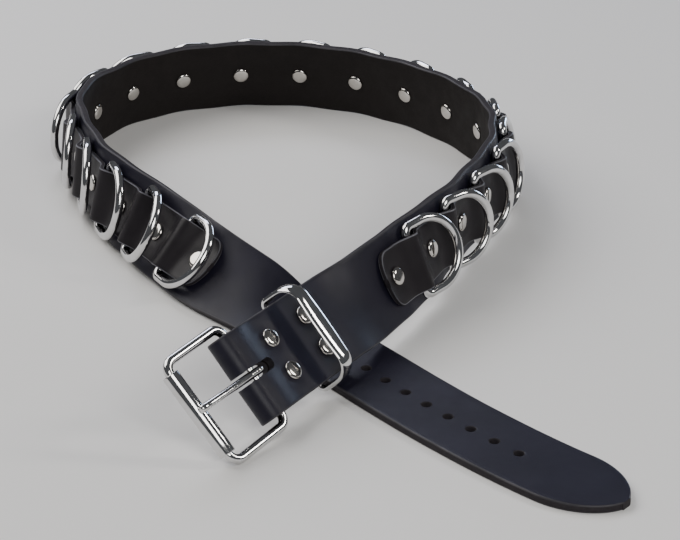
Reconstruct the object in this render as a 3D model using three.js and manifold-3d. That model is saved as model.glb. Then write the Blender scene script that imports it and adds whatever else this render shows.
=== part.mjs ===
// A double ring belt lying as it is photographed: a leather strap stands on its edge in a loop, its two ends
// cross in front, and a narrower strap riveted along its outside traps twenty D-rings by their straight bars.
// Lengths are in millimetres and angles in degrees. Lengths along the strap are measured from its tip.

import * as THREE from 'three';
import { mergeVertices } from 'three/addons/utils/BufferGeometryUtils.js';
import Module from 'manifold-3d';

const wasm = await Module();
wasm.setup();

// Driving dimensions

const CLEARANCE = 0.3; // between pieces that touch on the real belt

const strap = {
  width: 44.5,
  thickness: 4,
  tipRun: 292, // from the tip to the first ring rivet
  buckleRun: 130, // from the last ring rivet to the end of the fold
  tipPoint: 34, // length over which the tip narrows
  tipEnd: 3, // half width of the blunt end
};
const punch = { count: 8, fromTip: 60, pitch: 15.2, radius: 2.4 };
const overlay = { width: 29.5, thickness: 2.8, humpReach: 11, endMargin: 10 };
const ring = { count: 20, pitch: 36.6, wire: 4.8, innerWidth: 32, reach: 29, corner: 3.5 };
const rivet = { capRadius: 4.75, capRise: 1.9, postRadius: 1.6, holeRadius: 2.2, capGap: 0.7 };
const backing = {
  length: 72.5, // turned-back layer, from the end of the fold to its free end
  farRivets: 13, // from its free end
  nearRivets: 41,
  rivetSpread: 18.2, // between the two rivets of a pair
};
const keeper = {
  fromEnd: 26, // of the turned-back layer
  innerWidth: 46.6,
  height: 19.7,
  nearCorner: 2.5,
  farCorner: 9,
  bandWidth: 10, // in the middle of the band
  bandThickness: 3.2,
  leanBack: 12,
};
const buckle = {
  barFromFold: 11.2,
  innerWidth: 49.5,
  reach: 38.5, // from the bar to the roller's axis
  wire: 4.6,
  barCorner: 5,
  rollerCorner: 5.5,
  droop: 6.5,
  skew: 1.75,
};
const roller = { length: 44, wall: 1.3, play: 0.5 };
const prong = { wire: 3.8, overhang: 1.5, arch: 0.5 };
const slot = { width: 6, behindBar: 12 };

// How the strap lies. at: in ring pitches from the tip. heading: in plan, from the x axis.
// lean: 0 stands on edge, 90 lies flat, grain side up. lift: of its lowest edge, in strap thicknesses.
const lie = [
  { at: 0, heading: 141, lean: 90, lift: 0 },
  { at: 2.53, heading: 131, lean: 90, lift: 0 },
  { at: 4.43, heading: 127, lean: 90, lift: 0 },
  { at: 5.85, heading: 130, lean: 90, lift: 0 },
  { at: 7.12, heading: 139, lean: 63, lift: 0 },
  { at: 8.38, heading: 127, lean: 43, lift: 0 },
  { at: 9.8, heading: 124, lean: 24, lift: 0 },
  { at: 11.23, heading: 110, lean: 8, lift: 0 },
  { at: 12.49, heading: 103, lean: 6, lift: 0 },
  { at: 13.6, heading: 77, lean: 4, lift: 0 },
  { at: 14.71, heading: 54, lean: 10, lift: 0 },
  { at: 15.81, heading: 28, lean: 11, lift: 0 },
  { at: 17.08, heading: 5, lean: 12, lift: 0 },
  { at: 18.34, heading: -17, lean: 12, lift: 0 },
  { at: 19.61, heading: -37, lean: 11, lift: 0 },
  { at: 21.03, heading: -56, lean: 6, lift: 0 },
  { at: 22.45, heading: -78, lean: 5, lift: 0.3 },
  { at: 23.56, heading: -94, lean: 12, lift: 1.2 },
  { at: 24.67, heading: -112, lean: 6, lift: 1.6 },
  { at: 25.93, heading: -115, lean: 4, lift: 1.6 },
  { at: 27.36, heading: -119, lean: 20, lift: 1.5 },
  { at: 28.62, heading: -122, lean: 30, lift: 1.5 },
  { at: 29.41, heading: -123, lean: 43, lift: 2.3 },
  { at: 31.63, heading: -123, lean: 43, lift: 2.3 },
];

// How far each ring stands off the strap, from the buckle's end to the tip's.
const ringRise = [20, 24, 19, 8, 6, 7, 8, 9, 9, 9, 9, 9, 9, 9, 9, 13, 12, 10, 21, 12];

const tubeSides = { ring: 6, wire: 8, prong: 6, rivet: 8, roller: 14 };
const holeSides = { punch: 8, rivet: 6 };
const stationStep = 10; // longest step between cross-sections of the strap

// Derived sizes

const rad = THREE.MathUtils.degToRad;
const strapLength = strap.tipRun + ring.count * ring.pitch + strap.buckleRun;
const stiffFrom = strapLength - backing.length; // the doubled end is straight from here
const ringHalf = (ring.innerWidth + ring.wire) / 2;
const layerGap = CLEARANCE / 2;
const barRadius = buckle.wire / 2;
const barOpening = barRadius + 1.2 * CLEARANCE; // half the space between the layers at the bar
const rollerRadius = barRadius + roller.play + roller.wall;
const nearRivetBack = backing.length - backing.nearRivets;
const farRivetBack = backing.length - backing.farRivets;
const keeperBack = backing.length - keeper.fromEnd;
const rivetLength = (index) => strap.tipRun + ring.pitch * (ring.count - index);
const ringLength = (index) => strap.tipRun + ring.pitch * (ring.count - 0.5 - index);

// Lengths of every rivet and of the given shares of every hump, from the tip's end, which both straps share.
function ringedLengths(humpShares) {
  const lengths = [rivetLength(ring.count)];
  for (let i = ring.count - 1; i >= 0; i -= 1) {
    lengths.push(...humpShares.map((share) => ringLength(i) + share * overlay.humpReach));
    lengths.push(rivetLength(i));
  }
  return lengths;
}

// Evenly spaced lengths after the first and up to the last, no further apart than the longest step.
function evenLengths(first, last) {
  const steps = Math.ceil((last - first) / stationStep);
  return Array.from({ length: steps }, (_, i) => first + ((last - first) * (i + 1)) / steps);
}

// The lie of the strap

// Slope of one column at a row: level at a turning point, so that nothing overshoots a row.
function slopeAt(column, index) {
  const rise = (i) => (lie[i + 1][column] - lie[i][column]) / (lie[i + 1].at - lie[i].at);
  if (index === 0) return rise(0);
  if (index === lie.length - 1) return rise(index - 1);
  const before = rise(index - 1);
  const after = rise(index);
  return before * after <= 0 ? 0 : (2 * before * after) / (before + after);
}

// One column of the table at any length, joined smoothly from row to row.
function lieAt(column, length) {
  const at = length / ring.pitch;
  let index = lie.findIndex((row) => row.at > at) - 1;
  if (index < 0) index = at <= 0 ? 0 : lie.length - 2;
  const low = lie[index];
  const high = lie[index + 1];
  const span = high.at - low.at;
  const v = (at - low.at) / span;
  const u = 1 - v;
  return (
    u * u * (1 + 2 * v) * low[column] +
    v * u * u * span * slopeAt(column, index) +
    v * v * (3 - 2 * v) * high[column] -
    v * v * u * span * slopeAt(column, index + 1)
  );
}

// Height of the strap's middle line, with its lowest edge on the surface or lifted off it.
function heightAt(length) {
  const lean = rad(lieAt('lean', length));
  const edge = (strap.width / 2) * Math.cos(lean) + (strap.thickness / 2) * Math.sin(lean);
  return lieAt('lift', length) * strap.thickness + edge;
}

function directionsAt(length) {
  const heading = rad(lieAt('heading', length));
  const lean = rad(lieAt('lean', length));
  const reach = 1;
  const climb = (heightAt(length + reach) - heightAt(length - reach)) / (2 * reach);
  const flat = Math.sqrt(1 - climb * climb);
  const along = new THREE.Vector3(flat * Math.cos(heading), flat * Math.sin(heading), climb);
  const level = new THREE.Vector3(-Math.sin(heading), Math.cos(heading), 0);
  const upright = new THREE.Vector3().crossVectors(along, level);
  const out = level.multiplyScalar(Math.cos(lean)).addScaledVector(upright, Math.sin(lean)).normalize();
  return { along, out, across: new THREE.Vector3().crossVectors(along, out) };
}

// The middle line in plan, summed in short steps from the tip.
const planStep = 1.5;
const plan = [new THREE.Vector2(0, 0)];
for (let length = 0; length < strapLength; length += planStep) {
  const { along } = directionsAt(length + planStep / 2);
  plan.push(plan.at(-1).clone().add(new THREE.Vector2(along.x, along.y).multiplyScalar(planStep)));
}

// Middle of the strap and its directions: along to the buckle, out through the grain side, across to the top.
function frameAt(length) {
  const bent = Math.min(length, stiffFrom);
  const index = Math.min(Math.floor(bent / planStep), plan.length - 2);
  const spot = plan[index].clone().lerp(plan[index + 1], bent / planStep - index);
  const frame = directionsAt(bent);
  frame.centre = new THREE.Vector3(spot.x, spot.y, heightAt(bent));
  frame.centre.addScaledVector(frame.along, length - bent);
  return frame;
}

// A matrix that stands x along, y out and z across at a length, moved by offsets in those directions.
function seat(length, outOffset = 0, acrossOffset = 0) {
  const { centre, along, out, across } = frameAt(length);
  const spot = centre.clone().addScaledVector(out, outOffset).addScaledVector(across, acrossOffset);
  return new THREE.Matrix4().makeBasis(along, out, across).setPosition(spot);
}

// Solids

function bare(geometry) {
  geometry.deleteAttribute('normal');
  geometry.deleteAttribute('uv');
  return mergeVertices(geometry, 1e-4);
}

function toSolid(geometry) {
  const clean = bare(geometry);
  const vertProperties = new Float32Array(clean.attributes.position.array);
  const triVerts = new Uint32Array(clean.index.array);
  return new wasm.Manifold(new wasm.Mesh({ numProp: 3, vertProperties, triVerts }));
}

function cut(geometry, cutters) {
  let solid = toSolid(geometry);
  for (const cutter of cutters) solid = solid.subtract(toSolid(cutter));
  const { vertProperties, triVerts } = solid.getMesh();
  const result = new THREE.BufferGeometry();
  result.setAttribute('position', new THREE.BufferAttribute(vertProperties, 3));
  result.setIndex(new THREE.BufferAttribute(triVerts, 1));
  return result;
}

// A strip of leather with one rectangular cross-section at each station. Both its faces are split along
// the same diagonals, so that it stays equally thick where it twists.
function bentStrip(stations, thickness) {
  const corners = [[-1, -1], [1, -1], [1, 1], [-1, 1]];
  const spots = stations.flatMap(({ centre, out, across, halfWidth }) =>
    corners.map(([up, side]) => {
      const spot = centre.clone().addScaledVector(out, (up * thickness) / 2);
      return spot.addScaledVector(across, side * halfWidth);
    }),
  );
  const faces = [0, 2, 1, 0, 3, 2];
  for (let start = 0; start + 4 < spots.length; start += 4) {
    for (let k = 0; k < 4; k += 1) {
      const near = [start + k, start + ((k + 1) % 4)];
      const far = [near[0] + 4, near[1] + 4];
      if (k < 2) faces.push(near[0], near[1], far[1], near[0], far[1], far[0]);
      else faces.push(near[0], near[1], far[0], near[1], far[1], far[0]);
    }
  }
  const last = spots.length - 4;
  faces.push(last, last + 1, last + 2, last, last + 2, last + 3);
  return new THREE.BufferGeometry().setFromPoints(spots).setIndex(faces);
}

// Wire bent to a closed outline in the xy plane, drawn anticlockwise. Its section is as thick as radial in
// the plane and as wide as axialAt gives for each point.
function closedWire(outline, radial, axialAt, sides) {
  const count = outline.length;
  const loop = new THREE.TorusGeometry(2, 1, sides, count);
  const place = loop.attributes.position;
  for (let i = 0; i < place.count; i += 1) {
    const at = (i % (count + 1)) % count;
    const turn = (Math.floor(i / (count + 1)) / sides) * 2 * Math.PI;
    const here = outline[at];
    const back = here.clone().sub(outline[(at + count - 1) % count]).normalize();
    const ahead = outline[(at + 1) % count].clone().sub(here).normalize();
    const outward = new THREE.Vector2(back.y + ahead.y, -back.x - ahead.x).normalize();
    const mitre = 1 / Math.sqrt((1 + back.dot(ahead)) / 2);
    const side = radial * mitre * Math.cos(turn);
    const rise = axialAt(here) * Math.sin(turn);
    place.setXYZ(i, here.x + outward.x * side, here.y + outward.y * side, rise);
  }
  return bare(loop);
}

const arc = (x, y, radius, from, to, steps) =>
  new THREE.EllipseCurve(x, y, radius, radius, rad(from), rad(to), false).getPoints(steps);

// A four-sided outline with its first side on x = 0 and each end's corners rounded.
function framedOutline(reach, half, nearCorner, farCorner, steps) {
  return [
    ...arc(nearCorner, -half + nearCorner, nearCorner, 180, 270, steps),
    ...arc(reach - farCorner, -half + farCorner, farCorner, 270, 360, steps),
    ...arc(reach - farCorner, half - farCorner, farCorner, 0, 90, steps),
    ...arc(nearCorner, half - nearCorner, nearCorner, 90, 180, steps),
  ];
}

// The strap with its tip, its fold round the buckle's bar and the layer turned back under it

// Half width at a length from the tip: a rounded point with a small blunt end.
function halfWidthAt(length) {
  const full = strap.width / 2;
  if (length >= strap.tipPoint) return full;
  const curve = 1 - (1 - length / strap.tipPoint) ** 2;
  return Math.max(strap.tipEnd, full * curve ** 0.6);
}

// A bump that is 1 in the middle and 0 at its reach, level at both.
const bump = (distance, reach) =>
  Math.abs(distance) >= reach ? 0 : Math.cos((distance / reach) * (Math.PI / 2)) ** 2;

const layerHalf = strap.thickness / 2;
const foldRadius = barOpening + layerHalf;
const foldCentre = foldRadius + layerHalf; // of the half turn, back from the end of the fold
const bulgeReach = nearRivetBack - rivet.capRadius - buckle.barFromFold;
const keeperReach = farRivetBack - rivet.capRadius - keeperBack;

// Rise of the outer layer over the bar, at a distance back from the fold.
function outerRise(back) {
  const past = Math.max(0, back - buckle.barFromFold);
  return (barOpening - layerGap) * bump(past, bulgeReach);
}

// Depth of the turned-back layer's middle below the meeting of the layers.
function backingDepth(back) {
  const barPart = outerRise(back);
  const keeperPart = (keeper.bandThickness + CLEARANCE) * bump(back - keeperBack, keeperReach);
  return layerGap + layerHalf + Math.max(barPart, keeperPart);
}

// A station of the doubled end: back from the end of the fold, up from the meeting of the layers, and turned.
function foldStation(back, up, turn = 0) {
  const frame = frameAt(strapLength - back);
  frame.centre.addScaledVector(frame.out, up - layerGap - layerHalf);
  frame.out.applyAxisAngle(frame.across, turn);
  return { ...frame, halfWidth: strap.width / 2 };
}

function strapStations() {
  const tipShares = [0, 0.03, 0.08, 0.16, 0.28, 0.42, 0.58, 0.78, 1];
  const lengths = tipShares.map((share) => share * strap.tipPoint);
  const overlayStart = rivetLength(ring.count) - overlay.endMargin;
  const overlayEnd = rivetLength(0) + overlay.endMargin;
  lengths.push(...evenLengths(strap.tipPoint, overlayStart));
  for (const share of [0.25, 0.5, 0.75]) lengths.push(overlayStart + share * overlay.endMargin);
  lengths.push(...ringedLengths([-1, 0, 1]));
  for (const share of [0.5, 1]) lengths.push(rivetLength(0) + share * overlay.endMargin);
  lengths.push(...evenLengths(overlayEnd, stiffFrom));
  const run = lengths.map((length) => ({ ...frameAt(length), halfWidth: halfWidthAt(length) }));

  const bulgeEnd = buckle.barFromFold + bulgeReach;
  const bulgeShares = [0.63, 0.37, 0.15, 0];
  const bulgeBacks = bulgeShares.map((share) => buckle.barFromFold + share * bulgeReach);
  const flatBacks = evenLengths(-backing.length, -bulgeEnd).map((back) => -back);
  for (const back of [...flatBacks, ...bulgeBacks, foldCentre]) {
    run.push(foldStation(back, layerGap + layerHalf + outerRise(back)));
  }
  const turnSteps = 8;
  for (let i = 1; i < turnSteps; i += 1) {
    const turn = (Math.PI * i) / turnSteps;
    const back = foldCentre - foldRadius * Math.sin(turn);
    run.push(foldStation(back, foldRadius * Math.cos(turn), -turn));
  }
  const keeperShares = [-1, -0.85, -0.55, -0.25, 0, 0.25, 0.55, 0.85, 1];
  const keeperBacks = keeperShares.map((share) => keeperBack + share * keeperReach);
  for (const back of [foldCentre, ...bulgeBacks.reverse(), bulgeEnd, ...keeperBacks, backing.length]) {
    run.push(foldStation(back, -backingDepth(back), -Math.PI));
  }
  return run;
}

function hole(matrix, radius, depth, sides) {
  return new THREE.CylinderGeometry(radius, radius, depth, sides).applyMatrix4(matrix);
}

function slotCutter() {
  const half = slot.width / 2;
  const end = -buckle.barFromFold - slot.behindBar + half;
  const outline = new THREE.Shape();
  outline.moveTo(buckle.barFromFold, -half);
  outline.lineTo(buckle.barFromFold, half);
  outline.lineTo(end, half);
  outline.absarc(end, 0, half, Math.PI / 2, (3 * Math.PI) / 2, false);
  const depth = 2 * (foldRadius + strap.thickness);
  const body = new THREE.ExtrudeGeometry(outline, { depth, bevelEnabled: false, curveSegments: 8 });
  body.translate(0, 0, -depth / 2).rotateX(-Math.PI / 2);
  return body.applyMatrix4(seat(strapLength, -layerGap - layerHalf));
}

const backingRivets = [nearRivetBack, farRivetBack].flatMap((back) =>
  [0.5, -0.5].map((side) => ({ back, across: side * backing.rivetSpread })),
);

function baseStrap() {
  const cutters = [slotCutter()];
  for (let i = 0; i < punch.count; i += 1) {
    const matrix = seat(punch.fromTip + i * punch.pitch);
    cutters.push(hole(matrix, punch.radius, 3 * strap.thickness, holeSides.punch));
  }
  for (let i = 0; i <= ring.count; i += 1) {
    cutters.push(hole(seat(rivetLength(i)), rivet.holeRadius, 3 * strap.thickness, holeSides.rivet));
  }
  for (const { back, across } of backingRivets) {
    const matrix = seat(strapLength - back, -layerHalf, across);
    cutters.push(hole(matrix, rivet.holeRadius, 5 * strap.thickness, holeSides.rivet));
  }
  return cut(bentStrip(strapStations(), strap.thickness), cutters);
}

// The narrow strap that humps over every ring's bar

const overlaySeat = strap.thickness / 2 + 1.3 * CLEARANCE; // its underside, out from the strap's middle
const humpRise = ring.wire + 2 * CLEARANCE;

function overlayStation(length, halfWidth) {
  const frame = frameAt(length);
  const nearest = ringLength(Math.round((ringLength(0) - length) / ring.pitch));
  const rise = humpRise * bump(length - nearest, overlay.humpReach);
  frame.centre.addScaledVector(frame.out, overlaySeat + rise + overlay.thickness / 2);
  return { ...frame, halfWidth };
}

function overlayStrap() {
  const half = overlay.width / 2;
  const first = rivetLength(ring.count) - overlay.endMargin;
  const last = rivetLength(0) + overlay.endMargin;
  const roundEnd = [0.1, 0.3, 0.6, 1].map((share) => ({
    in: share * overlay.endMargin * 0.8,
    halfWidth: half * Math.sqrt(1 - (1 - share) ** 2),
  }));
  const stations = roundEnd.map((row) => overlayStation(first + row.in, row.halfWidth));
  stations.push(...ringedLengths([-1, -0.5, 0, 0.5, 1]).map((length) => overlayStation(length, half)));
  roundEnd.reverse();
  stations.push(...roundEnd.map((row) => overlayStation(last - row.in, row.halfWidth)));
  const cutters = [];
  for (let i = 0; i <= ring.count; i += 1) {
    const matrix = seat(rivetLength(i), overlaySeat);
    cutters.push(hole(matrix, rivet.holeRadius, 4 * overlay.thickness, holeSides.rivet));
  }
  return cut(bentStrip(stations, overlay.thickness), cutters);
}

// Rings, rivets and keeper

function dRing() {
  const arm = ring.reach - ringHalf;
  const outline = [
    ...arc(ring.corner, -ringHalf + ring.corner, ring.corner, 180, 270, 2),
    ...arc(arm, 0, ringHalf, -90, 90, 7),
    ...arc(ring.corner, ringHalf - ring.corner, ring.corner, 90, 180, 2),
  ];
  return closedWire(outline, ring.wire / 2, () => ring.wire / 2, tubeSides.ring);
}

// A matrix with x leaning from the way to the tip up off the strap, y across, at a point on the strap.
function leaning(length, outOffset, rise) {
  const { centre, along, out, across } = frameAt(length);
  const reach = along.clone().multiplyScalar(-Math.cos(rad(rise))).addScaledVector(out, Math.sin(rad(rise)));
  const normal = new THREE.Vector3().crossVectors(reach, across);
  const spot = centre.clone().addScaledVector(out, outOffset);
  return new THREE.Matrix4().makeBasis(reach, across, normal).setPosition(spot);
}

// A rivet on the y axis: a post with a domed cap on the grain side and a cone-shaped one inside.
function doubleCap(low, high) {
  const { capRadius, capRise, postRadius } = rivet;
  const points = [
    [0, low - capRise],
    [capRadius, low],
    [postRadius, low],
    [postRadius, high],
    [capRadius, high],
    [capRadius * 0.68, high + capRise * 0.72],
    [0, high + capRise],
  ];
  return new THREE.LatheGeometry(
    points.map(([x, y]) => new THREE.Vector2(x, y)),
    tubeSides.rivet,
  );
}

const keeperPivot = -layerHalf - CLEARANCE - keeper.bandThickness / 2;

// The keeper is a round wire between the layers and widens to a band that is widest in its middle.
function keeperLoop() {
  const { bandThickness, bandWidth } = keeper;
  const half = (keeper.innerWidth + bandThickness) / 2;
  const outline = framedOutline(keeper.height, half, keeper.nearCorner, keeper.farCorner, 4);
  outline.splice(outline.length / 2, 0, new THREE.Vector2(keeper.height, 0)); // middle of the band
  const widthAt = (spot) => {
    const grown = THREE.MathUtils.smoothstep(spot.x, 0, keeper.height);
    const shoulder = 1 - 0.4 * (spot.y / half) ** 2;
    return THREE.MathUtils.lerp(bandThickness, bandWidth, grown * shoulder) / 2;
  };
  return closedWire(outline, bandThickness / 2, widthAt, tubeSides.wire);
}

// The buckle, in a frame with x from the bar to the roller, y out and z across

const meeting = -layerGap - layerHalf; // where the two layers meet, out from the outer layer's middle
const prongMatrix = seat(strapLength - buckle.barFromFold, meeting).multiply(
  new THREE.Matrix4().makeRotationZ(-rad(buckle.droop)),
);
const buckleMatrix = prongMatrix.clone().multiply(new THREE.Matrix4().makeRotationY(rad(buckle.skew)));

function buckleFrame() {
  const half = (buckle.innerWidth + buckle.wire) / 2;
  const outline = framedOutline(buckle.reach, half, buckle.barCorner, buckle.rollerCorner, 3);
  return closedWire(outline, barRadius, () => barRadius, tubeSides.wire).rotateX(Math.PI / 2);
}

function rollerTube() {
  const inner = barRadius + roller.play;
  const profile = [
    [inner, -roller.length / 2],
    [rollerRadius, -roller.length / 2],
    [rollerRadius, roller.length / 2],
    [inner, roller.length / 2],
    [inner, -roller.length / 2],
  ];
  const tube = new THREE.LatheGeometry(
    profile.map(([x, y]) => new THREE.Vector2(x, y)),
    tubeSides.roller,
  );
  return tube.rotateX(Math.PI / 2).translate(buckle.reach, 0, 0);
}

// The prong curls three quarters of a turn round the bar, runs over the roller and turns down at its tip.
function prongBody() {
  const curl = barRadius + CLEARANCE + prong.wire / 2;
  const top = rollerRadius + CLEARANCE + prong.wire / 2;
  const points = [];
  for (let turn = 360; turn > 90; turn -= 30) {
    points.push(new THREE.Vector3(curl * Math.cos(rad(turn)), curl * Math.sin(rad(turn)), 0));
  }
  const lineAt = (share, rise) =>
    new THREE.Vector3(buckle.reach * share, curl + (top - curl) * share + rise, 0);
  points.push(lineAt(0, 0), lineAt(0.3, 0), lineAt(0.6, 0.2), lineAt(0.85, prong.arch), lineAt(1, 0.2));
  points.push(new THREE.Vector3(buckle.reach + prong.overhang, top - 0.4, 0));
  const line = new THREE.CatmullRomCurve3(points, false, 'centripetal');
  const section = new THREE.Shape();
  section.absarc(0, 0, prong.wire / 2, 0, 2 * Math.PI, false);
  return new THREE.ExtrudeGeometry(section, {
    steps: 18,
    curveSegments: tubeSides.prong / 2,
    bevelEnabled: false,
    extrudePath: line,
  });
}

// Finishes and assembly

const leather = new THREE.MeshStandardMaterial({ color: 0x1b1a20, roughness: 0.45, metalness: 0 });
const overlayLeather = new THREE.MeshStandardMaterial({ color: 0x17141a, roughness: 0.4, metalness: 0 });
const chrome = new THREE.MeshStandardMaterial({ color: 0xd8d8da, roughness: 0.12, metalness: 1 });
const nickel = new THREE.MeshStandardMaterial({ color: 0xc9c8c6, roughness: 0.2, metalness: 1 });

const belt = new THREE.Group();

function add(name, geometry, material, matrix = new THREE.Matrix4()) {
  const mesh = new THREE.Mesh(bare(geometry), material);
  mesh.name = name;
  mesh.applyMatrix4(matrix);
  belt.add(mesh);
  return mesh;
}

const numbered = (stem, index) => `${stem}_${String(index + 1).padStart(2, '0')}`;

add('base_strap', baseStrap(), leather);
add('overlay_strap', overlayStrap(), overlayLeather);

const ringSeat = strap.thickness / 2 + CLEARANCE + ring.wire / 2;
for (let i = 0; i < ring.count; i += 1) {
  add(numbered('ring', i), dRing(), chrome, leaning(ringLength(i), ringSeat, ringRise[i]));
}

const ringRivetLow = -strap.thickness / 2 - rivet.capGap;
const ringRivetHigh = overlaySeat + overlay.thickness + rivet.capGap;
for (let i = 0; i <= ring.count; i += 1) {
  add(numbered('rivet', i), doubleCap(ringRivetLow, ringRivetHigh), nickel, seat(rivetLength(i)));
}

const backingLow = meeting - layerGap - strap.thickness - rivet.capGap;
const backingHigh = layerHalf + rivet.capGap;
backingRivets.forEach(({ back, across }, i) => {
  const matrix = seat(strapLength - back, 0, across);
  add(`buckle_rivet_${i + 1}`, doubleCap(backingLow, backingHigh), nickel, matrix);
});

const keeperMatrix = leaning(strapLength - keeperBack, keeperPivot, 90 - keeper.leanBack);
add('keeper_loop', keeperLoop(), chrome, keeperMatrix);
add('buckle_frame', buckleFrame(), chrome, buckleMatrix);
add('buckle_roller', rollerTube(), chrome, buckleMatrix);
add('buckle_prong', prongBody(), chrome, prongMatrix);

// The origin is on the surface, under the middle of the belt.
belt.updateMatrixWorld(true);
const box = new THREE.Box3().setFromObject(belt, true);
const middle = box.getCenter(new THREE.Vector3());
belt.position.set(-middle.x, -middle.y, -box.min.z);
belt.updateMatrixWorld(true);

export default belt;
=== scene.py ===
"""Looks of a double ring belt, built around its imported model.

Lengths are in millimetres and angles in degrees until a point is placed, and lengths along the strap are
measured from its tip, as in the part's own source.
"""

import math

import bpy
from mathutils import Matrix, Vector, noise


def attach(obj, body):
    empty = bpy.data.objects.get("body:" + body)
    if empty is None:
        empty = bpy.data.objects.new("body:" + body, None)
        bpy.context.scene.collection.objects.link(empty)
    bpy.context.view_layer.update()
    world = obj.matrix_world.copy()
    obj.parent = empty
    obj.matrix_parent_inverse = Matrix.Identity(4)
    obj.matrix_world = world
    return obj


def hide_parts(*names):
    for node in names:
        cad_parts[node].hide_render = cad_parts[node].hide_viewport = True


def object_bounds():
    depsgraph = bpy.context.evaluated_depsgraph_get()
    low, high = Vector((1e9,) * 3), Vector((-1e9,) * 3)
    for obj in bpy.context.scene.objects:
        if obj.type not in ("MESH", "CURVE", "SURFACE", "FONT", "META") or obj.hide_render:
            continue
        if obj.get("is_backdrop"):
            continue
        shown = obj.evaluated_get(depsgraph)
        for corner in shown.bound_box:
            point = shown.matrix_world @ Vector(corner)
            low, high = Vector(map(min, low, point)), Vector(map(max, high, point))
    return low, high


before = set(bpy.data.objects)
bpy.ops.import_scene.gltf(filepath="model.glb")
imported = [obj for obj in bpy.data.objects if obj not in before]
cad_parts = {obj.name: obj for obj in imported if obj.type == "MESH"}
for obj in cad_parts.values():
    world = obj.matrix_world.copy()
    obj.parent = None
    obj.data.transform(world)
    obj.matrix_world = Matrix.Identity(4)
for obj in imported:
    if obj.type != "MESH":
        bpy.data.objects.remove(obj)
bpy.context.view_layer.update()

MM = 0.001
ORIGIN = Vector((143.989, -241.606, 0.0))  # the end of the tip, in the part's frame

# Sizes of the part

CLEARANCE = 0.3

STRAP_WIDTH = 44.5
STRAP_THICKNESS = 4.0
TIP_RUN = 292.0
BUCKLE_RUN = 130.0
TIP_POINT = 34.0
TIP_END = 3.0
TIP_FULLNESS = 0.6

PUNCH_COUNT = 8
PUNCH_FROM_TIP = 60.0
PUNCH_PITCH = 15.2
PUNCH_RADIUS = 2.4

OVERLAY_WIDTH = 29.5
OVERLAY_THICKNESS = 2.8
END_MARGIN = 10.0

RING_COUNT = 20
RING_PITCH = 36.6
RING_WIRE = 4.8
RING_INNER = 32.0
RING_REACH = 29.0
RING_CORNER = 3.5

CAP_RADIUS = 4.75

BACKING_LENGTH = 72.5
NEAR_FROM_END = 41.0
FAR_FROM_END = 13.0
RIVET_SPREAD = 18.2

KEEPER_FROM_END = 26.0
KEEPER_INNER = 46.6
KEEPER_HEIGHT = 19.7
KEEPER_LEAN = 12.0
KEEPER_NEAR_CORNER = 2.5
KEEPER_FAR_CORNER = 9.0
KEEPER_WIDTH = 10.0
KEEPER_THICKNESS = 3.2

BAR_FROM_FOLD = 11.2
BUCKLE_INNER = 49.5
BUCKLE_REACH = 38.5
BUCKLE_WIRE = 4.6
BAR_CORNER = 5.0
ROLLER_CORNER = 5.5
BUCKLE_DROOP = 6.5
BUCKLE_SKEW = 1.75

ROLLER_LENGTH = 44.0
ROLLER_WALL = 1.3
ROLLER_PLAY = 0.5

PRONG_WIRE = 3.8
PRONG_OVERHANG = 1.5
PRONG_ARCH = 0.5

SLOT_WIDTH = 6.0
SLOT_BEHIND_BAR = 12.0

# How the strap lies: ring pitches from the tip, heading, lean, and lift in strap thicknesses.
HEADING, LEAN, LIFT = 1, 2, 3
LIE = [
    (0, 141, 90, 0),
    (2.53, 131, 90, 0),
    (4.43, 127, 90, 0),
    (5.85, 130, 90, 0),
    (7.12, 139, 63, 0),
    (8.38, 127, 43, 0),
    (9.8, 124, 24, 0),
    (11.23, 110, 8, 0),
    (12.49, 103, 6, 0),
    (13.6, 77, 4, 0),
    (14.71, 54, 10, 0),
    (15.81, 28, 11, 0),
    (17.08, 5, 12, 0),
    (18.34, -17, 12, 0),
    (19.61, -37, 11, 0),
    (21.03, -56, 6, 0),
    (22.45, -78, 5, 0.3),
    (23.56, -94, 12, 1.2),
    (24.67, -112, 6, 1.6),
    (25.93, -115, 4, 1.6),
    (27.36, -119, 20, 1.5),
    (28.62, -122, 30, 1.5),
    (29.41, -123, 43, 2.3),
    (31.63, -123, 43, 2.3),
]

# How far each ring stands off the strap, from the buckle's end to the tip's.
RING_RISE = [20, 24, 19, 8, 6, 7, 8, 9, 9, 9, 9, 9, 9, 9, 9, 13, 12, 10, 21, 12]

STRAP_LENGTH = TIP_RUN + RING_COUNT * RING_PITCH + BUCKLE_RUN
STIFF_FROM = STRAP_LENGTH - BACKING_LENGTH
RING_HALF = (RING_INNER + RING_WIRE) / 2
LAYER_GAP = CLEARANCE / 2
LAYER_HALF = STRAP_THICKNESS / 2
BAR_RADIUS = BUCKLE_WIRE / 2
BAR_OPENING = BAR_RADIUS + 1.2 * CLEARANCE
FOLD_RADIUS = BAR_OPENING + LAYER_HALF
FOLD_CENTRE = FOLD_RADIUS + LAYER_HALF
NEAR_BACK = BACKING_LENGTH - NEAR_FROM_END
FAR_BACK = BACKING_LENGTH - FAR_FROM_END
KEEPER_BACK = BACKING_LENGTH - KEEPER_FROM_END
BULGE_REACH = NEAR_BACK - CAP_RADIUS - BAR_FROM_FOLD
KEEPER_REACH = FAR_BACK - CAP_RADIUS - KEEPER_BACK
ROLLER_RADIUS = BAR_RADIUS + ROLLER_PLAY + ROLLER_WALL
MEETING = -LAYER_GAP - LAYER_HALF  # where the two layers meet, out from the outer layer's middle
OVERLAY_SEAT = LAYER_HALF + 1.3 * CLEARANCE
HUMP_RISE = RING_WIRE + 2 * CLEARANCE
RING_SEAT = LAYER_HALF + CLEARANCE + RING_WIRE / 2
PLAN_STEP = 1.5


def rivet_length(index):
    return TIP_RUN + RING_PITCH * (RING_COUNT - index)


def ring_length(index):
    return TIP_RUN + RING_PITCH * (RING_COUNT - 0.5 - index)


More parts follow.
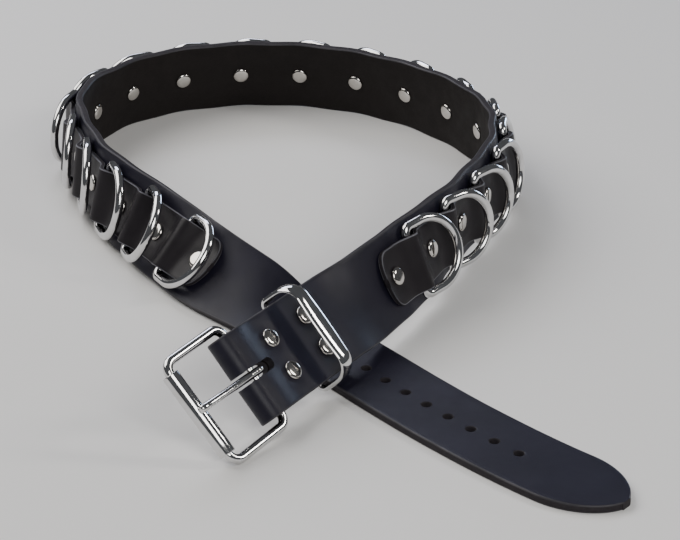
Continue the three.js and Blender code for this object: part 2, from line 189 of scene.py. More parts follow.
# The lie of the strap


def slope_at(column, index):
    """Slope of one column at a row: level at a turning point, so that nothing overshoots a row."""

    def rise(i):
        return (LIE[i + 1][column] - LIE[i][column]) / (LIE[i + 1][0] - LIE[i][0])

    if index == 0:
        return rise(0)
    if index == len(LIE) - 1:
        return rise(index - 1)
    before, after = rise(index - 1), rise(index)
    return 0.0 if before * after <= 0 else 2 * before * after / (before + after)


def lie_at(column, length):
    """One column of the table at any length, joined smoothly from row to row."""
    at = length / RING_PITCH
    index = 0
    while index < len(LIE) - 2 and LIE[index + 1][0] <= at:
        index += 1
    low, high = LIE[index], LIE[index + 1]
    span = high[0] - low[0]
    v = (at - low[0]) / span
    u = 1 - v
    return (
        u * u * (1 + 2 * v) * low[column]
        + v * u * u * span * slope_at(column, index)
        + v * v * (3 - 2 * v) * high[column]
        - v * v * u * span * slope_at(column, index + 1)
    )


def height_at(length):
    lean = math.radians(lie_at(LEAN, length))
    edge = STRAP_WIDTH / 2 * math.cos(lean) + STRAP_THICKNESS / 2 * math.sin(lean)
    return lie_at(LIFT, length) * STRAP_THICKNESS + edge


def directions_at(length):
    heading = math.radians(lie_at(HEADING, length))
    lean = math.radians(lie_at(LEAN, length))
    climb = (height_at(length + 1) - height_at(length - 1)) / 2
    flat = math.sqrt(1 - climb * climb)
    along = Vector((flat * math.cos(heading), flat * math.sin(heading), climb))
    level = Vector((-math.sin(heading), math.cos(heading), 0))
    upright = along.cross(level)
    out = (level * math.cos(lean) + upright * math.sin(lean)).normalized()
    return along, out, along.cross(out)


plan = [Vector((0, 0, 0))]
while (len(plan) - 1) * PLAN_STEP < STRAP_LENGTH:
    step = directions_at((len(plan) - 0.5) * PLAN_STEP)[0] * PLAN_STEP
    plan.append(plan[-1] + Vector((step.x, step.y, 0)))


def frame_at(length):
    """Middle of the strap, and its directions along to the buckle, out through the grain side and across."""
    bent = min(length, STIFF_FROM)
    index = min(int(bent / PLAN_STEP), len(plan) - 2)
    centre = plan[index].lerp(plan[index + 1], bent / PLAN_STEP - index)
    along, out, across = directions_at(bent)
    centre.z = height_at(bent)
    return centre + along * (length - bent), along, out, across


def matrix_of(x_axis, y_axis, z_axis, spot):
    matrix = Matrix((x_axis, y_axis, z_axis)).transposed().to_4x4()
    matrix.translation = spot
    return matrix


def seat(length, out_offset=0.0, across_offset=0.0):
    """A matrix that stands x along, y out and z across at a length."""
    centre, along, out, across = frame_at(length)
    return matrix_of(along, out, across, centre + out * out_offset + across * across_offset)


def leaning(length, out_offset, rise):
    """A matrix with x leaning from the way to the tip up off the strap, and y across."""
    centre, along, out, across = frame_at(length)
    reach = -along * math.cos(math.radians(rise)) + out * math.sin(math.radians(rise))
    return matrix_of(reach, across, reach.cross(across), centre + out * out_offset)


# Mesh helpers


def make_object(name, points, faces, slots, materials):
    """An object from points in the strap's millimetres, with a material slot for each face."""
    mesh = bpy.data.meshes.new(name)
    mesh.from_pydata([(point + ORIGIN) * MM for point in points], [], faces)
    for material in materials:
        mesh.materials.append(material)
    mesh.polygons.foreach_set("material_index", slots)
    mesh.shade_smooth()
    obj = bpy.data.objects.new(name, mesh)
    bpy.context.scene.collection.objects.link(obj)
    return obj


def skin(name, rings, materials, looped=False, slots=None, end_slot=0):
    """A skin through rings of equally many points. It is looped, or its two ends are capped."""
    size = len(rings[0])
    slots = slots or [0] * size
    points = [point for ring in rings for point in ring]
    faces, face_slots = [], []
    for start in range(len(rings) if looped else len(rings) - 1):
        near, far = start * size, (start + 1) % len(rings) * size
        for k in range(size):
            m = (k + 1) % size
            faces.append((near + k, near + m, far + m, far + k))
            face_slots.append(slots[k])
    if not looped:
        last = (len(rings) - 1) * size
        faces.append(tuple(range(size - 1, -1, -1)))
        faces.append(tuple(range(last, last + size)))
        face_slots += [end_slot, end_slot]
    return make_object(name, points, faces, face_slots, materials)


def lathe(name, profile, sides, matrix, materials):
    """A profile of (radius, height) turned about the matrix's y axis, closed where it meets that axis."""
    rings = []
    for radius, height in profile:
        ring = []
        for k in range(sides):
            turn = -2 * math.pi * k / sides
            ring.append(matrix @ Vector((radius * math.cos(turn), height, radius * math.sin(turn))))
        rings.append(ring)
    return skin(name, rings, materials)


def arc(x, y, radius, start, end, steps):
    """Points of an arc from one angle to another, both ends included."""
    turns = [math.radians(start + (end - start) * i / steps) for i in range(steps + 1)]
    return [Vector((x + radius * math.cos(turn), y + radius * math.sin(turn))) for turn in turns]


def framed_outline(reach, half, near, far, steps):
    """A four-sided outline with its first side on x = 0 and each end's corners rounded."""
    return [
        *arc(near, -half + near, near, 180, 270, steps),
        *arc(reach - far, -half + far, far, 270, 360, steps),
        *arc(reach - far, half - far, far, 0, 90, steps),
        *arc(near, half - near, near, 90, 180, steps),
    ]


def closed_wire(name, outline, section_at, matrix, materials):
    """Wire bent to a closed anticlockwise outline in the xy plane. A section is (outward, up) pairs."""
    rings = []
    for i, here in enumerate(outline):
        back = (here - outline[i - 1]).normalized()
        ahead = (outline[(i + 1) % len(outline)] - here).normalized()
        outward = Vector((back.y + ahead.y, -back.x - ahead.x)).normalized()
        mitre = 1 / math.sqrt((1 + back.dot(ahead)) / 2)
        ring = []
        for side, rise in section_at(here):
            spot = here + outward * side * mitre
            ring.append(matrix @ Vector((spot.x, spot.y, rise)))
        rings.append(ring)
    return skin(name, rings[::-1], materials, looped=True)


def round_section(radius, sides):
    turns = [2 * math.pi * k / sides for k in range(sides)]
    return [(radius * math.cos(turn), radius * math.sin(turn)) for turn in turns]


def smoothstep(value, low, high):
    share = min(1.0, max(0.0, (value - low) / (high - low)))
    return share * share * (3 - 2 * share)


def bump(distance, reach):
    """1 in the middle and 0 at its reach, level at both."""
    return 0.0 if abs(distance) >= reach else math.cos(distance / reach * math.pi / 2) ** 2


def dress(obj, body, slot, *nodes):
    """The piece rides on its body and stands for its CAD nodes."""
    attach(obj, body)
    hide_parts(*nodes)


# Materials


def new_material(name):
    material = bpy.data.materials.new(name)
    material.use_nodes = True
    shader = material.node_tree.nodes["Principled BSDF"]
    return material, material.node_tree, shader


def add_node(tree, kind, **values):
    node = tree.nodes.new(kind)
    for key, value in values.items():
        if key in node.inputs:
            node.inputs[key].default_value = value
        else:
            setattr(node, key, value)
    return node


def noise_at(tree, scale, detail=3.0, roughness=0.5, stretch=None):
    """Noise in the object's own coordinates; a stretch gives each axis its own scale."""
    coords = add_node(tree, "ShaderNodeTexCoord")
    source = coords.outputs["Object"]
    if stretch:
        mapping = add_node(tree, "ShaderNodeMapping", Scale=stretch)
        tree.links.new(source, mapping.inputs["Vector"])
        source = mapping.outputs["Vector"]
    field = add_node(tree, "ShaderNodeTexNoise", Scale=scale, Detail=detail, Roughness=roughness)
    tree.links.new(source, field.inputs["Vector"])
    return field.outputs["Fac"]


def ranged(tree, source, low, high, start=0.3, end=0.7):
    """A field's middle values spread over a range."""
    spread = add_node(tree, "ShaderNodeMapRange")
    for key, value in zip(("From Min", "From Max", "To Min", "To Max"), (start, end, low, high)):
        spread.inputs[key].default_value = value
    tree.links.new(source, spread.inputs["Value"])
    return spread.outputs["Result"]


def two_colours(tree, source, dark, light, start=0.3, end=0.7):
    ramp = add_node(tree, "ShaderNodeValToRGB")
    ramp.color_ramp.elements[0].position = start
    ramp.color_ramp.elements[1].position = end
    ramp.color_ramp.elements[0].color = (*dark, 1)
    ramp.color_ramp.elements[1].color = (*light, 1)
    tree.links.new(source, ramp.inputs["Fac"])
    return ramp.outputs["Color"]


def bumped(tree, shader, layers):
    """Bump from (field, depth in metres, strength) layers, one on top of another."""
    normal = None
    for source, depth, strength in layers:
        relief = add_node(tree, "ShaderNodeBump", Strength=strength, Distance=depth)
        tree.links.new(source, relief.inputs["Height"])
        if normal:
            tree.links.new(normal, relief.inputs["Normal"])
        normal = relief.outputs["Normal"]
    tree.links.new(normal, shader.inputs["Normal"])


def cells_at(tree, scale):
    coords = add_node(tree, "ShaderNodeTexCoord")
    cells = add_node(tree, "ShaderNodeTexVoronoi", feature="DISTANCE_TO_EDGE", Scale=scale)
    tree.links.new(coords.outputs["Object"], cells.inputs["Vector"])
    return cells.outputs["Distance"]


def leather_material(name, dark, light, rough, grain_depth, specular=0.27):
    """Leather with mottled colour, uneven gloss, fine grain and slow waves."""
    material, tree, shader = new_material(name)
    shader.inputs["Specular IOR Level"].default_value = specular
    colour = two_colours(tree, noise_at(tree, 45, 5, 0.6), dark, light)
    tree.links.new(colour, shader.inputs["Base Color"])
    gloss = ranged(tree, noise_at(tree, 85, 4, 0.6), rough[0], rough[1])
    tree.links.new(gloss, shader.inputs["Roughness"])
    pebble = ranged(tree, cells_at(tree, 1100), 0.0, 1.0, 0.0, 0.12)
    bumped(
        tree,
        shader,
        [
            (noise_at(tree, 60, 3), 0.0006, 0.18),
            (noise_at(tree, 1600, 4, 0.7), grain_depth, 0.35),
            (pebble, grain_depth, 0.3),
        ],
    )
    return material


def fibre_material(name, dark, light, rough, depth):
    """Cut or suede-like leather: matt, with short uneven fibres."""
    material, tree, shader = new_material(name)
    shader.inputs["Specular IOR Level"].default_value = 0.2
    fibres = noise_at(tree, 700, 6, 0.75, stretch=(1, 1, 2.2))
    tree.links.new(two_colours(tree, fibres, dark, light), shader.inputs["Base Color"])
    gloss = ranged(tree, noise_at(tree, 120, 4, 0.6), rough[0], rough[1])
    tree.links.new(gloss, shader.inputs["Roughness"])
    bumped(tree, shader, [(noise_at(tree, 150, 3), depth * 2, 0.3), (fibres, depth, 0.6)])
    return material


def metal_material(name, clean, worn, rough, wave):
    """Plating with faint ripples, hairline wear and uneven polish."""
    material, tree, shader = new_material(name)
    shader.inputs["Metallic"].default_value = 1.0
    tree.links.new(two_colours(tree, noise_at(tree, 140, 5, 0.65), clean, worn), shader.inputs["Base Color"])
    hairs = noise_at(tree, 500, 5, 0.7, stretch=(1, 4, 1))
    gloss = ranged(tree, hairs, rough[0], rough[1], 0.4, 0.75)
    tree.links.new(gloss, shader.inputs["Roughness"])
    bumped(tree, shader, [(noise_at(tree, 220, 2), wave, 0.35), (hairs, 0.00001, 0.2)])
    return material


GRAIN, CORNER, EDGE, FLESH = range(4)
base_materials = [
    leather_material(
        "grain_leather", (0.0078, 0.0070, 0.0150), (0.0125, 0.0112, 0.0225), (0.38, 0.48), 0.00006
    ),
    # The rounded corners are a lighter colour: partly wear, partly a painted highlight line along the strap's
    # edges.
    leather_material("worn_corner_painted_highlight", (0.024, 0.023, 0.027), (0.062, 0.058, 0.066), (0.38, 0.52), 0.00005),
    fibre_material("cut_edge", (0.013, 0.011, 0.013), (0.034, 0.029, 0.034), (0.55, 0.75), 0.00012),
    fibre_material("flesh_side", (0.0085, 0.0068, 0.0068), (0.0150, 0.0118, 0.0112), (0.58, 0.72), 0.00008),
]
overlay_materials = [
    leather_material(
        "overlay_grain", (0.0085, 0.0066, 0.0088), (0.0135, 0.0108, 0.0138), (0.38, 0.50), 0.00005
    ),
    # Much lighter on the overlay's rounded corners: mostly a painted highlight line along its edges, with
    # some wear.
    leather_material("overlay_corner_painted_highlight", (0.060, 0.060, 0.072), (0.150, 0.150, 0.168), (0.32, 0.46), 0.00004),
    base_materials[EDGE],
    base_materials[FLESH],
]
chrome = metal_material("chrome_plate", (0.74, 0.74, 0.75), (0.62, 0.61, 0.60), (0.05, 0.13), 0.00006)
nickel = metal_material("nickel_plate", (0.70, 0.68, 0.65), (0.55, 0.52, 0.48), (0.07, 0.17), 0.00003)

# Leather strips

CAP_PRESS, PRESS_REACH = 0.75, 6.3
CAP_SINK = 0.35  # of a cap's rim below the leather's level surface
CORNER_STEPS = 3


def pressed(distance):
    """How deep a cap presses the leather at a distance from its middle."""
    return CAP_PRESS * math.exp(-((distance / PRESS_REACH) ** 4))


def section_of(half, thickness, corner, columns):
    """Points (across, out) round a strip's section from its grain side, and the slot of each stretch."""
    side, face = half - corner, thickness / 2 - corner
    spots = [(-side + 2 * side * i / columns, thickness / 2) for i in range(columns + 1)]
    slots = [GRAIN] * columns
    steps = CORNER_STEPS
    for centre, start in (((side, face), 90), ((side, -face), 0)):
        turns = [math.radians(start - 90 * i / steps) for i in range(steps + 1)]
        arc_spots = [(centre[0] + corner * math.cos(t), centre[1] + corner * math.sin(t)) for t in turns]
        spots += arc_spots[1:] if start == 90 else arc_spots
        slots += [CORNER] * steps + ([EDGE] if start == 90 else [])
    spots += [(side - 2 * side * i / columns, -thickness / 2) for i in range(1, columns + 1)]
    slots += [FLESH] * columns
    for centre, start in (((-side, -face), 270), ((-side, face), 180)):
        turns = [math.radians(start - 90 * i / steps) for i in range(steps + 1)]
        arc_spots = [(centre[0] + corner * math.cos(t), centre[1] + corner * math.sin(t)) for t in turns]
        spots += arc_spots[1:] if start == 270 else arc_spots[:-1]
        slots += [CORNER] * steps + ([EDGE] if start == 270 else [])
    return spots, slots


def strip(name, stations, thickness, corner, columns, relief, materials):
    """A strip of leather through stations of (place, centre, out, across, half width)."""
    rings = []
    slots = None
    for place, centre, out, across, half in stations:
        spots, slots = section_of(half, thickness, corner, columns)
        ring = []
        for side, rise in spots:
            lifted = rise + relief(place, side, rise)
            ring.append(centre + across * side + out * lifted)
        rings.append(ring)
    return skin(name, rings, materials, slots=slots, end_slot=EDGE)


def half_width_at(length):
    full = STRAP_WIDTH / 2
    if length >= TIP_POINT:
        return full
    return max(TIP_END, full * (1 - (1 - length / TIP_POINT) ** 2) ** TIP_FULLNESS)


def outer_rise(back):
    return (BAR_OPENING - LAYER_GAP) * bump(max(0.0, back - BAR_FROM_FOLD), BULGE_REACH)


def backing_depth(back):
    keeper_part = (KEEPER_THICKNESS + CLEARANCE) * bump(back - KEEPER_BACK, KEEPER_REACH)
    return LAYER_GAP + LAYER_HALF + max(outer_rise(back), keeper_part)


def fold_station(place, back, up, turn=0.0):
    """A station of the doubled end: back from the end of the fold, up from where the layers meet, turned."""
    centre, along, out, across = frame_at(STRAP_LENGTH - back)
    centre = centre + out * (up - LAYER_GAP - LAYER_HALF)
    out = Matrix.Rotation(turn, 3, across) @ out
    return place, centre, out, across, STRAP_WIDTH / 2


STATION_STEP = 1.6
buckle_rivets = [
    (back, side * RIVET_SPREAD) for back in (NEAR_BACK, FAR_BACK) for side in (0.5, -0.5)
]


def evenly(first, last, step=STATION_STEP):
    """Evenly spaced values after the first and up to the last."""
    count = math.ceil((last - first) / step)
    return [first + (last - first) * (i + 1) / count for i in range(count)]


def strap_stations():
    """Places are (length, distance back from the fold or None)."""
    run = []
    tip_steps = 22
    lengths = [TIP_POINT * (i / tip_steps) ** 1.8 for i in range(tip_steps + 1)]
    lengths += evenly(TIP_POINT, STIFF_FROM)
    for length in lengths:
        centre, _, out, across = frame_at(length)
        run.append(((length, None), centre, out, across, half_width_at(length)))
    for back in evenly(-BACKING_LENGTH, -FOLD_CENTRE):
        length = STRAP_LENGTH + back
        run.append(fold_station((length, -back), -back, LAYER_GAP + LAYER_HALF + outer_rise(-back)))
    turn_steps = 14
    for i in range(1, turn_steps):
        turn = math.pi * i / turn_steps
        back = FOLD_CENTRE - FOLD_RADIUS * math.sin(turn)
        run.append(fold_station((STRAP_LENGTH + turn, None), back, FOLD_RADIUS * math.cos(turn), -turn))
    for back in [FOLD_CENTRE, *evenly(FOLD_CENTRE, BACKING_LENGTH)]:
        place = (STRAP_LENGTH + back, back)
        run.append(fold_station(place, back, -backing_depth(back), -math.pi))
    return run


RIVETS_FROM, RIVETS_TO = rivet_length(RING_COUNT), rivet_length(0)
EDGE_WAVE = 0.5
WAVE_FROM, WAVE_FULL = 8, 21  # out from the strap's middle
FADE_OUTSIDE, FADE_INSIDE = 12, 6  # of the waves, beyond the end rivets and within them
UNEVENNESS = 0.12


def base_relief(place, side, rise):
    """Waves of the edges at the rings, dents of the caps, and an uneven hand-cut surface.

    The flesh sides that face each other in the doubled end stay even, so that they keep their gap.
    """
    length, back = place
    if rise < 0 and length > STIFF_FROM:
        return 0.0
    spot = Vector((length * 0.03, side * 0.05, rise * 0.1))
    shift = UNEVENNESS * noise.noise(spot)
    ringed = smoothstep(length, RIVETS_FROM - FADE_OUTSIDE, RIVETS_FROM + FADE_INSIDE)
    ringed *= 1 - smoothstep(length, RIVETS_TO - FADE_INSIDE, RIVETS_TO + FADE_OUTSIDE)
    phase = math.cos(2 * math.pi * (length - ring_length(0)) / RING_PITCH)
    shift -= EDGE_WAVE * ringed * phase * smoothstep(abs(side), WAVE_FROM, WAVE_FULL)
    if rise < 0 and back is None:
        nearest = RIVETS_FROM + RING_PITCH * round((length - RIVETS_FROM) / RING_PITCH)
        if RIVETS_FROM <= nearest <= RIVETS_TO:
            shift += pressed(math.hypot(length - nearest, side))
    if rise > 0 and back is not None:
        for rivet_back, rivet_side in buckle_rivets:
            shift -= pressed(math.hypot(back - rivet_back, side - rivet_side))
    return shift


def cut_away(obj, cutters):
    """Takes the cutters out of the object and removes them."""
    for cutter in cutters:
        taking = obj.modifiers.new(cutter.name, "BOOLEAN")
        taking.operation = "DIFFERENCE"
        taking.solver = "EXACT"
        taking.object = cutter
    graph = bpy.context.evaluated_depsgraph_get()
    mesh = bpy.data.meshes.new_from_object(obj.evaluated_get(graph))
    obj.modifiers.clear()
    obj.data = mesh
    for cutter in cutters:
        bpy.data.objects.remove(cutter)


def punch_cutter(index):
    """A round punch that chamfers the grain side a little."""
    face, chamfer = LAYER_HALF, 0.4
    profile = [
        (0.01, -face - 1),
        (PUNCH_RADIUS + 0.1, -face - 1),
        (PUNCH_RADIUS, -face + chamfer),
        (PUNCH_RADIUS, face - 1.3 * chamfer),
        (PUNCH_RADIUS + 0.3 * chamfer, face - 0.5 * chamfer),
        (PUNCH_RADIUS + 1.2 * chamfer, face),
        (PUNCH_RADIUS + 3 * chamfer, face + 1),
        (0.01, face + 1),
    ]
    place = seat(PUNCH_FROM_TIP + index * PUNCH_PITCH)
    return lathe(f"punch_{index}", profile, 24, place, [base_materials[EDGE]])


def slot_cutter():
    """The prong's slot, straight through the fold."""
    half = SLOT_WIDTH / 2
    end = -BAR_FROM_FOLD - SLOT_BEHIND_BAR + half
    outline = [Vector((BAR_FROM_FOLD, half)), *arc(end, 0, half, 90, 270, 14), Vector((BAR_FROM_FOLD, -half))]
    depth = 2 * (FOLD_RADIUS + STRAP_THICKNESS)
    place = seat(STRAP_LENGTH, MEETING)
    rings = [[place @ Vector((spot.x, rise, spot.y)) for spot in outline] for rise in (depth / 2, -depth / 2)]
    return skin("slot", rings, [base_materials[EDGE]])


base = strip("base_leather", strap_stations(), STRAP_THICKNESS, 0.75, 28, base_relief, base_materials)
cut_away(base, [*[punch_cutter(i) for i in range(PUNCH_COUNT)], slot_cutter()])
base.data.set_sharp_from_angle(angle=math.radians(38))
dress(base, "straps", "leather", "base_strap")


HUMP_REACH = 15.0
OVERLAY_STEP = 1.5
OVERLAY_UNEVENNESS = 0.1


def overlay_stations():
    first, last = RIVETS_FROM - END_MARGIN, RIVETS_TO + END_MARGIN
    half = OVERLAY_WIDTH / 2
    end_steps, end_reach = 10, 0.8 * END_MARGIN
    shares = [1 - math.cos(math.pi / 2 * i / end_steps) for i in range(1, end_steps + 1)]
    rows = [(first + share * end_reach, half * math.sqrt(1 - (1 - share) ** 2)) for share in shares]
    rows += [(length, half) for length in evenly(first + end_reach, last - end_reach, OVERLAY_STEP)]
    rows += [(last - share * end_reach, half * math.sqrt(1 - (1 - share) ** 2)) for share in shares[-2::-1]]
    run = []
    for length, width in rows:
        centre, _, out, across = frame_at(length)
        nearest = ring_length(round((ring_length(0) - length) / RING_PITCH))
        rise = HUMP_RISE * bump(length - nearest, HUMP_REACH) ** 2
        middle = centre + out * (OVERLAY_SEAT + rise + OVERLAY_THICKNESS / 2)
        run.append(((length, None), middle, out, across, width))
    return run


def overlay_relief(place, side, rise):
    """Dents of the caps on the grain side, and a slightly uneven surface."""
    length = place[0]
    spot = Vector((length * 0.06, side * 0.08, rise * 0.1 + 7))
    shift = OVERLAY_UNEVENNESS * noise.noise(spot)
    if rise > 0:
        nearest = RIVETS_FROM + RING_PITCH * round((length - RIVETS_FROM) / RING_PITCH)
        shift -= pressed(math.hypot(length - nearest, side))
    return shift


overlay = strip(
    "overlay_leather", overlay_stations(), OVERLAY_THICKNESS, 0.55, 18, overlay_relief, overlay_materials
)
overlay.data.set_sharp_from_angle(angle=math.radians(50))
dress(overlay, "straps", "overlay_leather", "overlay_strap")

# Rivets: a post with a shallow rounded cap at each end

CAP_RIM, CAP_TOP = 0.25, 1.66  # heights of a cap's widest line and of its middle
CAP_FLAT, CAP_CROWN = 0.55, 0.14  # how far out, in cap radii, the flatter middle reaches, and its own rise


def cap_profile():
    """Pairs of (share of the cap's radius, height), from its tucked-in edge to its middle."""
    profile = [(0.34, -0.15), (0.96, -0.15), (0.995, 0.05)]
    steps = 9
    for i in range(steps + 1):
        turn = math.radians(90 - 84 * i / steps)
        share = CAP_FLAT + (1 - CAP_FLAT) * math.sin(turn)
        profile.append((share, CAP_RIM + (CAP_TOP - CAP_CROWN - CAP_RIM) * math.cos(turn)))
    for share in (0.4, 0.2, 0.002):
        profile.append((share, CAP_TOP - CAP_CROWN * (share / CAP_FLAT) ** 2))
    return profile


CAP_PROFILE = cap_profile()


def rivet_piece(name, low, high, matrix):
    """Caps stand on the leather at low and high along the matrix's y axis."""
    upper = [(CAP_RADIUS * share, high + rise) for share, rise in CAP_PROFILE]
    lower = [(CAP_RADIUS * share, low - rise) for share, rise in reversed(CAP_PROFILE)]
    piece = lathe(name, lower + upper, 32, matrix, [nickel])
    piece.data.set_sharp_from_angle(angle=math.radians(60))
    return piece


for i in range(RING_COUNT + 1):
    name = f"rivet_{i + 1:02d}"
    high = OVERLAY_SEAT + OVERLAY_THICKNESS - CAP_SINK
    piece = rivet_piece(f"{name}_caps", -LAYER_HALF + CAP_SINK, high, seat(rivet_length(i)))
    dress(piece, "straps", "nickel", name)

for i, (back, side) in enumerate(buckle_rivets):
    name = f"buckle_rivet_{i + 1}"
    low = MEETING - LAYER_GAP - STRAP_THICKNESS + CAP_SINK
    piece = rivet_piece(f"{name}_caps", low, LAYER_HALF - CAP_SINK, seat(STRAP_LENGTH - back, 0, side))
    dress(piece, "straps", "nickel", name)

# Rings of round wire

arm = RING_REACH - RING_HALF
ring_outline = [
    *arc(RING_CORNER, -RING_HALF + RING_CORNER, RING_CORNER, 180, 270, 7),
    *arc(arm, 0, RING_HALF, -90, 90, 36),
    *arc(RING_CORNER, RING_HALF - RING_CORNER, RING_CORNER, 90, 180, 7),
]
ring_section = round_section(RING_WIRE / 2, 18)
for i, rise in enumerate(RING_RISE):
    name = f"ring_{i + 1:02d}"
    place = leaning(ring_length(i), RING_SEAT, rise)
    piece = closed_wire(f"{name}_wire", ring_outline, lambda spot: ring_section, place, [chrome])
    dress(piece, name, "chrome", name)

# Keeper: round between the layers, then a band that is domed outside and flatter inside


keeper_half = (KEEPER_INNER + KEEPER_THICKNESS) / 2
BAND_TILT = 0.22  # slope of the band's face towards the buckle
BAND_NARROWING = 0.4  # share of the band's extra width that is lost at its ends
BAND_HOLLOW = 0.7  # share of the wire's inner half that is missing from the band
BAND_SQUARENESS = 0.1


def keeper_section(spot):
    grown = smoothstep(spot.x, 0, KEEPER_HEIGHT)
    shoulder = 1 - BAND_NARROWING * (spot.y / keeper_half) ** 2
    half = (KEEPER_THICKNESS + (KEEPER_WIDTH - KEEPER_THICKNESS) * grown * shoulder) / 2
    section = []
    for outward, up in round_section(1, 28):
        thick = KEEPER_THICKNESS / 2 * (1 if outward > 0 else 1 - BAND_HOLLOW * grown)
        squared = math.copysign(abs(outward) ** (1 - BAND_SQUARENESS * grown), outward)
        section.append((squared * thick - half * up * grown * BAND_TILT, half * up))
    return section


def refined(outline, longest):
    """The outline without repeated points and with extra ones on its long sides."""
    spots = [spot for i, spot in enumerate(outline) if (spot - outline[i - 1]).length > 0.001]
    result = []
    for i, here in enumerate(spots):
        there = spots[(i + 1) % len(spots)]
        count = max(1, math.ceil((there - here).length / longest))
        result += [here.lerp(there, k / count) for k in range(count)]
    return result


keeper_outline = framed_outline(KEEPER_HEIGHT, keeper_half, KEEPER_NEAR_CORNER, KEEPER_FAR_CORNER, 12)
keeper_pivot = -LAYER_HALF - CLEARANCE - KEEPER_THICKNESS / 2
keeper_place = leaning(STRAP_LENGTH - KEEPER_BACK, keeper_pivot, 90 - KEEPER_LEAN)
keeper = closed_wire("keeper_band", refined(keeper_outline, 1.5), keeper_section, keeper_place, [chrome])
dress(keeper, "keeper", "chrome", "keeper_loop")

# Buckle

bar_seat = seat(STRAP_LENGTH - BAR_FROM_FOLD, MEETING)
prong_place = bar_seat @ Matrix.Rotation(-math.radians(BUCKLE_DROOP), 4, "Z")
buckle_place = prong_place @ Matrix.Rotation(math.radians(BUCKLE_SKEW), 4, "Y")
buckle_plane = buckle_place @ Matrix.Rotation(math.pi / 2, 4, "X")

buckle_outline = framed_outline(BUCKLE_REACH, (BUCKLE_INNER + BUCKLE_WIRE) / 2, BAR_CORNER, ROLLER_CORNER, 8)
wire_section = round_section(BAR_RADIUS, 20)
buckle = closed_wire("buckle_wire", buckle_outline, lambda spot: wire_section, buckle_plane, [chrome])
dress(buckle, "frame", "chrome", "buckle_frame")


def roller_tube():
    """A rolled tube with rounded ends and the seam of its sheet underneath."""
    inner, outer, half = BAR_RADIUS + ROLLER_PLAY, ROLLER_RADIUS, ROLLER_LENGTH / 2
    lip = 0.45  # how far the rounding of each end reaches
    profile = [(inner, -half + lip), (inner + 0.3 * lip, -half), (outer - 0.7 * lip, -half)]
    profile += [(outer - 0.2 * lip, -half + 0.25 * lip), (outer, -half + lip), (outer, 0)]
    profile += [(radius, -along) for radius, along in reversed(profile[:-1])]
    sides, seam_turn, seam_half, seam_depth = 72, 250, 4, 0.35
    rings = []
    for radius, along in profile:
        ring = []
        for k in range(sides):
            degrees = 360 * k / sides
            away = abs(degrees - seam_turn)
            dip = seam_depth * max(0.0, 1 - away / seam_half) if radius > inner + lip else 0.0
            turn = math.radians(degrees)
            x = BUCKLE_REACH + (radius - dip) * math.cos(turn)
            ring.append(buckle_place @ Vector((x, (radius - dip) * math.sin(turn), along)))
        rings.append(ring)
    return skin("roller_sheet", rings, [chrome], looped=True)


roller = roller_tube()
roller.data.set_sharp_from_angle(angle=math.radians(50))
dress(roller, "roller", "chrome", "buckle_roller")


CURL_POINTS, CURL_STEP = 27, 10  # the curl round the bar, its step in degrees
RUN_STEPS = 40
BEND = [(0.5, 0.06), (1, 0.2)]  # shares of the overhang, and how far the tip has dropped there
NICKS, NICK_REACH, NICK_DEPTH = (0.04, 0.12), 0.03, 0.6  # places and reach are shares of the prong's reach
WAIST, WAIST_REACH, WAIST_LOSS = 0.6, 0.35, 0.08
BULB_FROM, BULB_GAIN = 0.9, 0.05


def prong_line():
    """The middle of the wire: round the bar, along to the roller and down over it."""
    curl = BAR_RADIUS + CLEARANCE + PRONG_WIRE / 2
    top = ROLLER_RADIUS + CLEARANCE + PRONG_WIRE / 2
    line = []
    for i in range(CURL_POINTS):
        turn = math.radians(360 - CURL_STEP * i)
        line.append(Vector((curl * math.cos(turn), curl * math.sin(turn))))
    for i in range(RUN_STEPS + 1):
        share = i / RUN_STEPS
        rise = PRONG_ARCH * math.sin(math.pi * share) ** 2 * share
        line.append(Vector((BUCKLE_REACH * share, curl + (top - curl) * share + rise)))
    for share, drop in BEND:
        line.append(Vector((BUCKLE_REACH + share * PRONG_OVERHANG, top - drop)))
    return line


def rounded_end(last, before, radius):
    """Ever smaller rings beyond the last one."""
    middle = sum(last, Vector()) / len(last)
    away = (middle - sum(before, Vector()) / len(before)).normalized()
    end_reach = 0.7 * radius
    rounded = []
    for turn in (30, 60, 84):
        shrink = math.cos(math.radians(turn))
        shift = away * math.sin(math.radians(turn)) * end_reach
        rounded.append([middle + (spot - middle) * shrink + shift for spot in last])
    return rounded


def prong_wire():
    """Wire with two nicks in its top where it leaves the bar, a slight waist and a fuller tip."""
    line = prong_line()
    sides, radius = 18, PRONG_WIRE / 2
    rings = []
    for i, here in enumerate(line):
        ahead = (line[min(i + 1, len(line) - 1)] - line[max(i - 1, 0)]).normalized()
        normal = Vector((-ahead.y, ahead.x))
        share = here.x / BUCKLE_REACH if i >= CURL_POINTS else -1.0
        nick = NICK_DEPTH * max(bump(share - middle, NICK_REACH) for middle in NICKS)
        full = 1 - WAIST_LOSS * bump(share - WAIST, WAIST_REACH)
        full += BULB_GAIN * smoothstep(share, BULB_FROM, 1.0)
        ring = []
        for k in range(sides):
            turn = 2 * math.pi * k / sides
            up = radius * full * math.sin(turn)
            if up > 0:
                up -= nick * math.sin(turn)
            spot = here + normal * up
            ring.append(prong_place @ Vector((spot.x, spot.y, -radius * full * math.cos(turn))))
        rings.append(ring)
    start = rounded_end(rings[0], rings[1], radius)
    end = rounded_end(rings[-1], rings[-2], radius)
    return skin("prong_wire", start[::-1] + rings + end, [chrome])


prong = prong_wire()
dress(prong, "prong", "chrome", "buckle_prong")

# Floor, light and camera


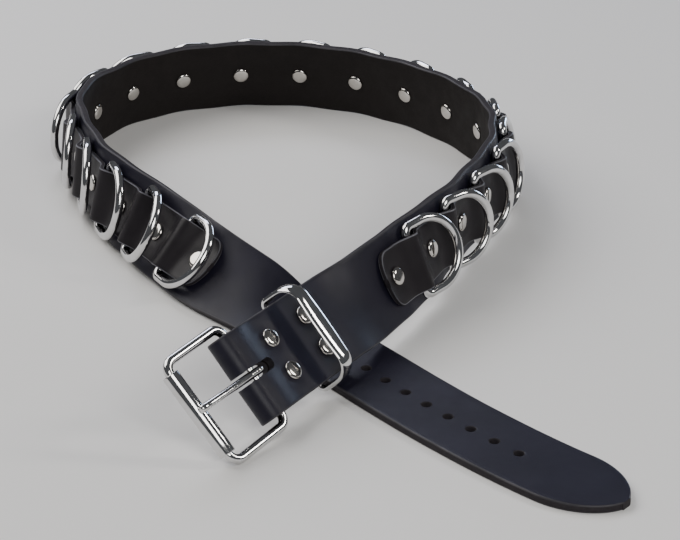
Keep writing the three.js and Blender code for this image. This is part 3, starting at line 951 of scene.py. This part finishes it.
def plain_floor():
    material, _, shader = new_material("pale_floor")
    shader.inputs["Base Color"].default_value = (0.80, 0.79, 0.78, 1)
    shader.inputs["Roughness"].default_value = 0.75
    mesh = bpy.data.meshes.new("floor")
    reach = 4.0
    corners = [(-reach, -reach, 0), (reach, -reach, 0), (reach, reach, 0), (-reach, reach, 0)]
    mesh.from_pydata(corners, [], [(0, 1, 2, 3)])
    mesh.materials.append(material)
    floor = bpy.data.objects.new("floor", mesh)
    bpy.context.scene.collection.objects.link(floor)
    floor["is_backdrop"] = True


def soft_light(name, place, size, power, colour, edge):
    """A soft rectangular light that faces the middle of the belt, its first side along the edge."""
    light = bpy.data.lights.new(name, "AREA")
    light.shape = "RECTANGLE"
    light.size, light.size_y = size
    light.energy = power
    light.color = colour
    lamp = bpy.data.objects.new(name, light)
    facing = Vector(place).normalized()
    first = (edge - facing * edge.dot(facing)).normalized()
    lamp.matrix_world = matrix_of(first, facing.cross(first), facing, Vector(place))
    bpy.context.scene.collection.objects.link(lamp)


plain_floor()
ROLLER_AXIS = frame_at(STRAP_LENGTH)[3]
SIDEWAYS = Vector((1, 0, 0))
FORWARD = Vector((0, 1, 0))
SOFT_LIGHTS = [
    ("right_softbox", (1.40, -0.05, 0.92), (0.25, 0.4), 6, (1.0, 0.97, 0.92), FORWARD),
    ("left_softbox", (-1.05, 0.38, 1.17), (1.5, 1.2), 21, (1.0, 0.98, 0.95), FORWARD),
    ("front_softbox", (0.42, -1.31, 1.0), (0.9, 0.8), 13, (1.0, 0.99, 0.96), ROLLER_AXIS),
    ("back_softbox", (-0.48, 1.43, 1.14), (1.0, 0.5), 9, (0.80, 0.84, 1.0), SIDEWAYS),
    ("low_softbox", (1.04, 1.46, 0.26), (0.8, 0.25), 6, (0.60, 0.75, 1.0), FORWARD),
]
for row in SOFT_LIGHTS:
    soft_light(*row)

world = bpy.data.worlds.new("studio")
world.use_nodes = True
background = world.node_tree.nodes["Background"]
background.inputs["Color"].default_value = (0.62, 0.64, 0.68, 1)
background.inputs["Strength"].default_value = 0.14
bpy.context.scene.world = world

CAMERA_PLACE = Vector((0.01931, -1.11435, 0.53089))
CAMERA_TARGET = Vector((0.01931, -0.00133, 0.0))
FOCAL_PIXELS, IMAGE_WIDTH = 2338, 680

camera_data = bpy.data.cameras.new("camera")
camera_data.sensor_width = 36
camera_data.sensor_fit = "HORIZONTAL"
camera_data.lens = camera_data.sensor_width * FOCAL_PIXELS / IMAGE_WIDTH
camera = bpy.data.objects.new("camera", camera_data)
camera.location = CAMERA_PLACE
camera.rotation_euler = (CAMERA_TARGET - CAMERA_PLACE).to_track_quat("-Z", "Y").to_euler()
bpy.context.scene.collection.objects.link(camera)
bpy.context.scene.camera = camera

low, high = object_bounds()
